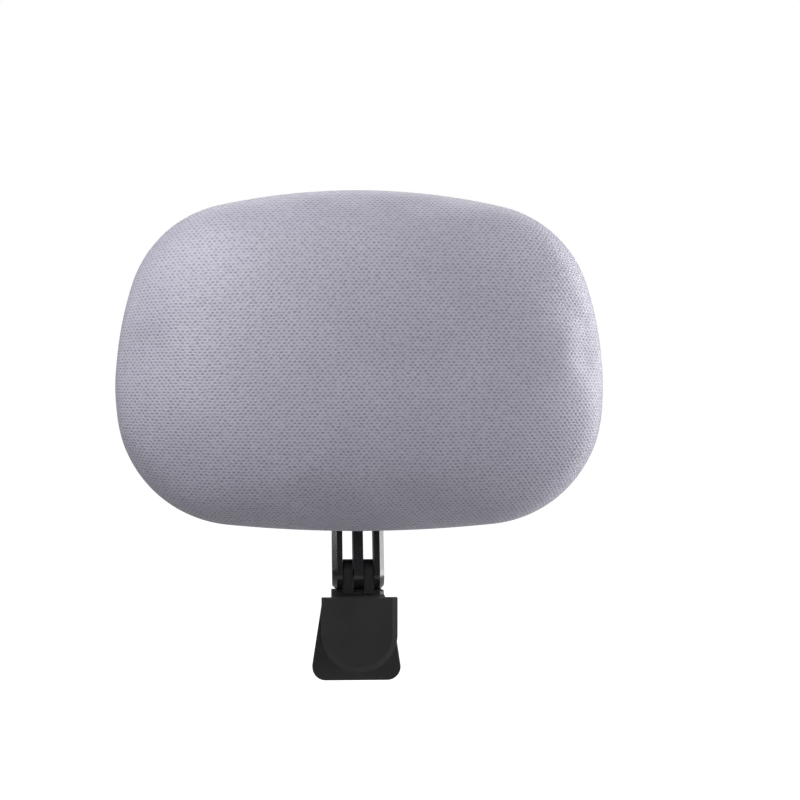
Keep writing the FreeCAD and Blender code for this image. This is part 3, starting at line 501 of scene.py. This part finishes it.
def make_cushion_mesh(shrink=0.0):
    """The cushion with its knit coordinates; `shrink` leaves room for it to swell."""
    mesh = bmesh.new()
    knit = []

    def point(x, y, z, across, along):
        vertex = mesh.verts.new((x / 1000, y / 1000, (z + MIDDLE) / 1000))
        knit.append((across / 1000, along / 1000, 0.0))
        return vertex

    grid = []
    for row in range(GRID + 1):
        line = []
        for column in range(GRID + 1):
            u = 2 * column / GRID - 1
            v = 2 * row / GRID - 1
            disc = (u * math.sqrt(1 - v * v / 2), v * math.sqrt(1 - u * u / 2))
            radius = min(1.0, math.hypot(*disc))
            direction = math.atan2(disc[1], disc[0])
            edge = rim(facing_at(direction), shrink - FULLNESS)
            reach = math.hypot(*edge)
            share = math.sin(math.pi / 2 * radius)
            depth = crown(share, direction) * (1 - shrink / SHRINK_DEPTH)
            length = length_along(direction, reach, share)
            x, z = edge[0] * share, edge[1] * share
            line.append(point(x, WIDEST - depth, z, *laid_out(x, z, length)))
        grid.append(line)
    for row in range(GRID):
        for column in range(GRID):
            mesh.faces.new(
                (
                    grid[row][column],
                    grid[row][column + 1],
                    grid[row + 1][column + 1],
                    grid[row + 1][column],
                )
            )

    ring = [grid[0][i] for i in range(GRID)]
    ring += [grid[i][GRID] for i in range(GRID)]
    ring += [grid[GRID][GRID - i] for i in range(GRID)]
    ring += [grid[GRID - i][0] for i in range(GRID)]
    mesh.verts.index_update()
    directions = [math.atan2(v.co.z * 1000 - MIDDLE, v.co.x * 1000) for v in ring]
    facings = [facing_at(direction) for direction in directions]
    edges = [rim(facing, shrink - FULLNESS) for facing in facings]
    lengths = [length_along(d, math.hypot(*edge), 1.0) for d, edge in zip(directions, edges)]

    def add_ring(previous, inset, y, gather, material=0):
        made = []
        for i, facing in enumerate(facings):
            x, z = rim(facing, inset + shrink)
            height = y + gather * pucker(facing)
            before = previous[i].co * 1000
            step = math.dist((x, height, z + MIDDLE), before)
            lengths[i] += step
            made.append(point(x, height, z, *laid_out(*edges[i], lengths[i])))
        for i in range(len(made)):
            j = (i + 1) % len(made)
            face = mesh.faces.new((previous[i], previous[j], made[j], made[i]))
            face.material_index = material
        return made

    last = ring
    for inset, y, gather in back_profile():
        last = add_ring(last, inset, y, gather * (0.0 if shrink else 1.0))
    if not shrink:
        for inset, y in recess_profile():
            last = add_ring(last, inset, y, 0.0, 1)
    floor = mesh.faces.new(last)
    floor.material_index = 0 if shrink else 1
    mesh.normal_update()
    bmesh.ops.recalc_face_normals(mesh, faces=mesh.faces)
    return mesh, knit


def as_object(name, mesh):
    data = bpy.data.meshes.new(name)
    mesh.to_mesh(data)
    mesh.free()
    made = bpy.data.objects.new(name, data)
    scene.collection.objects.link(made)
    return made


def make_cushion():
    mesh, knit = make_cushion_mesh()
    made = as_object("headrest_cushion", mesh)
    for face in made.data.polygons:
        if face.material_index == 0:
            face.use_smooth = True
    stored = made.data.attributes.new("knit", "FLOAT_VECTOR", "POINT")
    for i, value in enumerate(knit):
        stored.data[i].vector = value
    made.data.materials.append(finishes["mesh_fabric"])
    made.data.materials.append(finishes["foam"])
    return made


# Swelling. A slightly smaller copy of the cushion is blown up as cloth, and what that
# moves is carried over to the knitted one, within two limits. The limits cut about half
# of the moves: nearly half of the front reaches the outward one. Lengths here are in
# metres.

SMALLER = 2.0  # millimetres
VOXEL = 0.005
PRESSURE = 4.0
CLOTH_MASS = 0.1
CLOTH_STIFFNESS = 5.0
SWELL_FRAMES = 20
PROBE = 0.015
OUTWARD_CAP = 0.0030
INWARD_CAP = 0.0015
SMOOTHING_ROUNDS = 8
HEM_START = CUSHION_BACK / 1000 - 0.010
HEM_END = CUSHION_BACK / 1000 - 0.002


def evaluated_mesh(owner):
    """The owner's mesh as its modifiers leave it."""
    scene.view_layers[0].update()
    graph = bpy.context.evaluated_depsgraph_get()
    return bpy.data.meshes.new_from_object(owner.evaluated_get(graph))


def apply_modifiers(owner):
    data = evaluated_mesh(owner)
    owner.modifiers.clear()
    owner.data = data


def blown_up_copy():
    """The smaller copy after its cloth has swelled, with its hem held."""
    mesh, _ = make_cushion_mesh(SMALLER)
    copy = as_object("swelling_copy", mesh)
    remesh = copy.modifiers.new("remesh", "REMESH")
    remesh.mode = "VOXEL"
    remesh.voxel_size = VOXEL
    apply_modifiers(copy)
    hem = copy.vertex_groups.new(name="hem")
    held = [v.index for v in copy.data.vertices if v.co.y > HEM_END]
    hem.add(held, 1.0, "REPLACE")
    cloth = copy.modifiers.new("cloth", "CLOTH")
    cloth.settings.vertex_group_mass = "hem"
    cloth.settings.mass = CLOTH_MASS
    cloth.settings.tension_stiffness = CLOTH_STIFFNESS
    cloth.settings.compression_stiffness = CLOTH_STIFFNESS
    cloth.settings.use_pressure = True
    cloth.settings.uniform_pressure_force = PRESSURE
    cloth.settings.effector_weights.gravity = 0.0
    cloth.point_cache.frame_start = 1
    cloth.point_cache.frame_end = SWELL_FRAMES
    for frame_number in range(1, SWELL_FRAMES + 1):
        scene.frame_set(frame_number)
    apply_modifiers(copy)
    finer = copy.modifiers.new("finer", "SUBSURF")
    finer.levels = 1
    apply_modifiers(copy)
    scene.frame_set(1)
    return copy


def smoothed(values, neighbours):
    """Each value averaged with its neighbours', several times over."""
    for _ in range(SMOOTHING_ROUNDS):
        values = [
            (values[i] + sum(values[j] for j in near)) / (1 + len(near))
            for i, near in enumerate(neighbours)
        ]
    return values


def away_from_hem(vertex):
    """1 over the front and sides, falling to 0 at the hem."""
    return min(1.0, max(0.0, (HEM_END - vertex.co.y) / (HEM_END - HEM_START)))


def swell(owner):
    """Moves the knitted surface as the copy swelled, less and less towards the hem."""
    copy = blown_up_copy()
    tree = BVHTree.FromPolygons(
        [v.co for v in copy.data.vertices],
        [face.vertices for face in copy.data.polygons],
    )
    bpy.data.objects.remove(copy)
    vertices = owner.data.vertices
    neighbours = [[] for _ in vertices]
    for edge in owner.data.edges:
        first, second = edge.vertices
        neighbours[first].append(second)
        neighbours[second].append(first)
    moves = []
    for vertex in vertices:
        start = vertex.co - vertex.normal * PROBE
        distance = tree.ray_cast(start, vertex.normal, 2 * PROBE)[3]
        move = 0.0 if distance is None else distance - PROBE + SMALLER / 1000
        limited = min(OUTWARD_CAP, max(-INWARD_CAP, move))
        moves.append(away_from_hem(vertex) * limited)
    moves = smoothed(moves, neighbours)
    normals = [vertex.normal.copy() for vertex in vertices]
    for vertex, normal, move in zip(vertices, normals, moves):
        share = away_from_hem(vertex)
        vertex.co += normal * move * share


cushion = make_cushion()
swell(cushion)
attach(cushion, "headrest")
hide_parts("mesh_cover", "foam_pad")


# The clamp screw with its rolled thread.

THREAD_PITCH = 1.25
THREAD_ROOT = 3.30
THREAD_CREST = 3.95
THREAD_RUN_IN = 1.2
THREAD_RUN_OUT = 0.8
THREAD_AROUND = 32
THREAD_ROWS = 10
PLAIN_RADIUS = 3.0
GROOVE_RADIUS = 2.5
TIP_BEVEL = 0.3


def make_clamp_screw():
    """Plain end, clip groove, shoulder and M8 thread, turned about its axis."""
    screw_low, screw_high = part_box("clamp_screw")
    clip_low, clip_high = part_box("retaining_clip")
    plate_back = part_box("pressure_plate")[1][1] * 1000
    axis_z = (screw_low[2] + screw_high[2]) * 500
    tip, end = screw_low[1] * 1000, screw_high[1] * 1000
    groove_start, groove_end = clip_low[1] * 1000, clip_high[1] * 1000
    shoulder = plate_back + 0.1
    plain = [
        (tip, PLAIN_RADIUS - TIP_BEVEL),
        (tip + TIP_BEVEL, PLAIN_RADIUS),
        (groove_start, PLAIN_RADIUS),
        (groove_start, GROOVE_RADIUS),
        (groove_end, GROOVE_RADIUS),
        (groove_end, PLAIN_RADIUS),
        (shoulder, PLAIN_RADIUS),
        (shoulder, THREAD_ROOT),
    ]
    count = int((end - shoulder) / THREAD_PITCH * THREAD_ROWS)
    mesh = bmesh.new()
    rings = []

    def add_row(y_at, radius_at):
        ring = []
        for i in range(THREAD_AROUND):
            turn = 2 * math.pi * i / THREAD_AROUND
            radius = radius_at(turn)
            x = radius * math.cos(turn)
            z = axis_z + radius * math.sin(turn)
            ring.append(mesh.verts.new((x / 1000, y_at / 1000, z / 1000)))
        rings.append(ring)

    for y, radius in plain:
        add_row(y, lambda turn, radius=radius: radius)
    for k in range(1, count + 1):
        y = shoulder + (end - shoulder) * k / count
        fade = min(1.0, (y - shoulder) / THREAD_RUN_IN, (end - y) / THREAD_RUN_OUT)

        def flank(turn, y=y, fade=fade):
            phase = (y / THREAD_PITCH - turn / (2 * math.pi)) % 1.0
            wave = min(1.0, max(0.0, 1.6 - abs(phase - 0.5) * 4.0))
            return THREAD_ROOT + (THREAD_CREST - THREAD_ROOT) * wave * fade

        add_row(y, flank)
    for first, second in zip(rings, rings[1:]):
        for i in range(THREAD_AROUND):
            j = (i + 1) % THREAD_AROUND
            mesh.faces.new((first[i], first[j], second[j], second[i]))
    mesh.faces.new(rings[0])
    mesh.faces.new(rings[-1])
    bmesh.ops.recalc_face_normals(mesh, faces=mesh.faces)
    made = as_object("threaded_clamp_screw", mesh)
    made.data.materials.append(finishes["zinc_steel"])
    return made


clamp_screw = make_clamp_screw()
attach(clamp_screw, "screw")
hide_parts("clamp_screw")


# Stage, lights and camera.

FLOOR_LEVEL = -0.16
FLOOR_HALF = 6.0
WORLD_STRENGTH = 0.12
AIM = Vector((0.0, 0.0, 0.125))
CAMERA_TURN = -2.6
CAMERA_DISTANCE = 0.9
CAMERA_LENS = 69.3
CAMERA_SHIFT = 0.0526


def make_floor():
    """A large grey floor that the camera itself sees as white."""
    mesh = bmesh.new()
    signs = [(-1, -1), (1, -1), (1, 1), (-1, 1)]
    corners = [(x * FLOOR_HALF, y * FLOOR_HALF, FLOOR_LEVEL) for x, y in signs]
    mesh.faces.new([mesh.verts.new(corner) for corner in corners])
    made = as_object("floor", mesh)
    paint = Shader("floor_paint", base_color=(0.46, 0.46, 0.46), roughness=0.9)
    rays = paint.node("LightPath").outputs["Is Camera Ray"]
    paint.surface.inputs["Emission Color"].default_value = (1.0, 1.0, 1.0, 1.0)
    paint.set("Emission Strength", paint.math("MULTIPLY", rays, 1.0))
    made.data.materials.append(paint.material)
    return made


make_floor()


def direction_to(azimuth, elevation):
    """Unit vector from the object; azimuth 0 is towards the sitter, 90 to the right."""
    a = math.radians(azimuth)
    e = math.radians(elevation)
    return Vector((math.sin(a) * math.cos(e), -math.cos(a) * math.cos(e), math.sin(e)))


def add_softbox(name, azimuth, elevation, distance, width, height, watts):
    """A soft area light that faces the middle of the object."""
    data = bpy.data.lights.new(name, "AREA")
    data.shape = "RECTANGLE"
    data.size = width
    data.size_y = height
    data.energy = watts
    made = bpy.data.objects.new(name, data)
    away = direction_to(azimuth, elevation)
    made.location = AIM + away * distance
    made.rotation_mode = "QUATERNION"
    made.rotation_quaternion = away.to_track_quat("Z", "Y")
    scene.collection.objects.link(made)


# Azimuth, elevation and distance of each light, its width and height, and its power.

add_softbox("left_key", -44, 30, 0.38, 0.14, 0.24, 0.68)
add_softbox("left_front", -35, 10, 0.45, 0.12, 0.30, 0.27)
add_softbox("left_rim", -97, 17, 0.80, 0.10, 0.30, 0.9)
add_softbox("front_high", 0, 55, 1.00, 1.00, 0.60, 3.6)
add_softbox("right_front", 35, 10, 0.80, 0.40, 0.60, 1.2)
add_softbox("right_side", 85, 5, 0.80, 0.30, 0.80, 4.0)
add_softbox("right_rim", 100, 12, 0.70, 0.34, 0.80, 4.0)
add_softbox("top_rim", 172, 62, 0.80, 0.90, 0.30, 3.0)


def make_world():
    """White behind the object, and a weak even light on it."""
    world = bpy.data.worlds.new("studio")
    world.use_nodes = True
    tree = world.node_tree
    tree.nodes.clear()
    seen = tree.nodes.new("ShaderNodeBackground")
    seen.inputs["Color"].default_value = (1.0, 1.0, 1.0, 1.0)
    lighting = tree.nodes.new("ShaderNodeBackground")
    lighting.inputs["Color"].default_value = (0.96, 0.97, 1.0, 1.0)
    lighting.inputs["Strength"].default_value = WORLD_STRENGTH
    rays = tree.nodes.new("ShaderNodeLightPath")
    mix = tree.nodes.new("ShaderNodeMixShader")
    out = tree.nodes.new("ShaderNodeOutputWorld")
    tree.links.new(rays.outputs["Is Camera Ray"], mix.inputs[0])
    tree.links.new(lighting.outputs[0], mix.inputs[1])
    tree.links.new(seen.outputs[0], mix.inputs[2])
    tree.links.new(mix.outputs[0], out.inputs["Surface"])
    return world


scene.world = make_world()
scene.view_settings.view_transform = "Standard"

camera_data = bpy.data.cameras.new("camera")
camera_data.lens = CAMERA_LENS
camera_data.sensor_width = 36.0
camera_data.shift_x = CAMERA_SHIFT
camera = bpy.data.objects.new("camera", camera_data)
outward = direction_to(CAMERA_TURN, 0.0)
camera.location = AIM + outward * CAMERA_DISTANCE
camera.rotation_mode = "QUATERNION"
camera.rotation_quaternion = outward.to_track_quat("Z", "Y")
scene.collection.objects.link(camera)
scene.camera = camera
